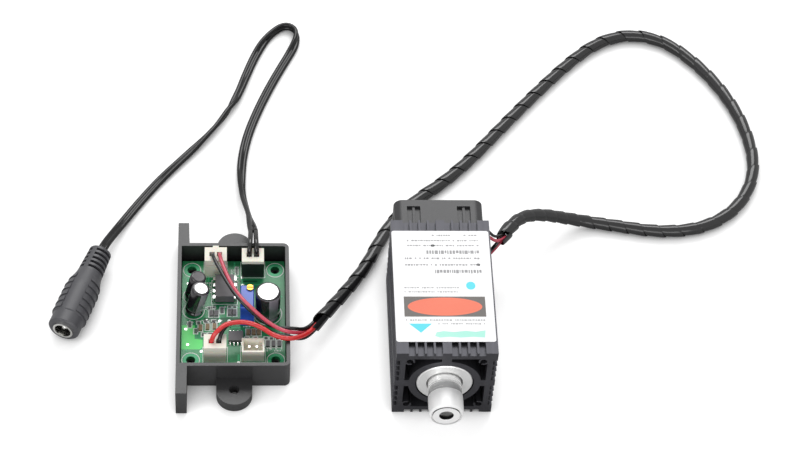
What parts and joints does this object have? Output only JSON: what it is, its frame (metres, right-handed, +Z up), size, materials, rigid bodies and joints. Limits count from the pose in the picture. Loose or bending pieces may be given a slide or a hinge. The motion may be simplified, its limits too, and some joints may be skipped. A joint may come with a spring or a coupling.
{
  "type": "laser diode module",
  "caption": "Fan-cooled laser diode head in a square finned heatsink, wired to an open driver board with a DC socket lead.",
  "frame": {"origin": "middle of the laser head's base, under the beam's axis", "axes": "+Z up, the beam leaves along -Y, the driver tray lies on the -X side"},
  "size_m": [0.2506, 0.187, 0.0331],
  "materials": {
    "black_anodised": "satin anodised",
    "bright_aluminium": "turned",
    "nickel": "satin",
    "steel": "bright",
    "brass": "bright",
    "copper": "enamelled wire",
    "glass": "clear",
    "black_plastic": "moulded, satin",
    "white_plastic": "moulded",
    "label": "coated paper",
    "board_green": "solder mask",
    "blue_plastic": "moulded",
    "black_sleeve": "shrunk sleeve",
    "black_rubber": "soft PVC",
    "red_rubber": "soft PVC",
    "ceramic": "fired",
    "iron": "dark ferrite"
  },
  "bodies": {
    "chassis": {"heatsink": "black_anodised", "head_label": "label", "adapter_sleeve": "bright_aluminium", "sleeve_grub_screw": "steel", "module_body": "nickel", "diode_can": "steel", "diode_ring": "brass", "focus_spring": "steel", "fan_frame": "black_plastic", "fan_bearing": "brass", "fan_stator": "steel", "fan_coils": "copper", "fan_board": "board_green", "fan_screws": "steel", "driver_tray": "black_plastic", "circuit_board": "board_green", "fan_header": "white_plastic", "power_header": "black_plastic", "laser_header": "white_plastic", "spare_header": "white_plastic", "header_pins": "steel", "fan_plug": "white_plastic", "power_plug": "white_plastic", "laser_plug": "white_plastic", "plug_contacts": "steel", "big_capacitor": "black_sleeve", "front_capacitor": "black_sleeve", "rear_capacitor": "black_sleeve", "driver_chip": "black_plastic", "driver_chip_legs": "steel", "small_chip": "black_plastic", "small_chip_legs": "steel", "trimmer_body": "blue_plastic", "chip_resistors": "black_plastic", "chip_capacitors": "ceramic", "dc_socket_body": "black_plastic", "dc_socket_shell": "steel", "dc_socket_insulator": "black_plastic", "dc_socket_pin": "steel", "harness_wrap": "black_plastic", "laser_wire_red": "red_rubber", "laser_wire_black": "black_rubber", "fan_wire_red": "red_rubber", "fan_wire_black": "black_rubber", "head_laser_wire_red": "red_rubber", "head_laser_wire_black": "black_rubber", "head_fan_wire_red": "red_rubber", "head_fan_wire_black": "black_rubber", "lead_wire_left": "black_rubber", "lead_wire_right": "black_rubber", "dc_lead": "black_rubber"},
    "fan_spinner": {"fan_rotor": "black_plastic", "fan_magnet": "iron", "fan_shaft": "steel"},
    "lens_carrier": {"lens": "glass", "lens_ring": "brass"},
    "focus_knob": {"focus_cap": "bright_aluminium", "lens_barrel": "bright_aluminium"},
    "trimmer_adjuster": {"trimmer_screw": "brass"}
  },
  "joints": [
    {"name": "fan_spin", "type": "hinge", "parent": "chassis", "child": "fan_spinner", "pos_m": [0, 0.032, 0.0165], "axis": [0, 1, 0], "continuous": true},
    {"name": "focus_travel", "type": "slide", "parent": "chassis", "child": "lens_carrier", "axis": [0, -1, 0], "range_m": [-0.00101, 0.00101]},
    {"name": "focus_turn", "type": "hinge", "parent": "lens_carrier", "child": "focus_knob", "pos_m": [0, -0.037, 0.0165], "axis": [0, -1, 0], "range_deg": [-720, 720]},
    {"name": "trimmer_turn", "type": "hinge", "parent": "chassis", "child": "trimmer_adjuster", "pos_m": [-0.0634, 0.0125, 0.015], "axis": [0, 0, 1], "continuous": true}
  ],
  "couplings": [
    {"joint": "focus_travel", "follows": "focus_turn", "m_per_rad": 0.000079577}
  ]
}
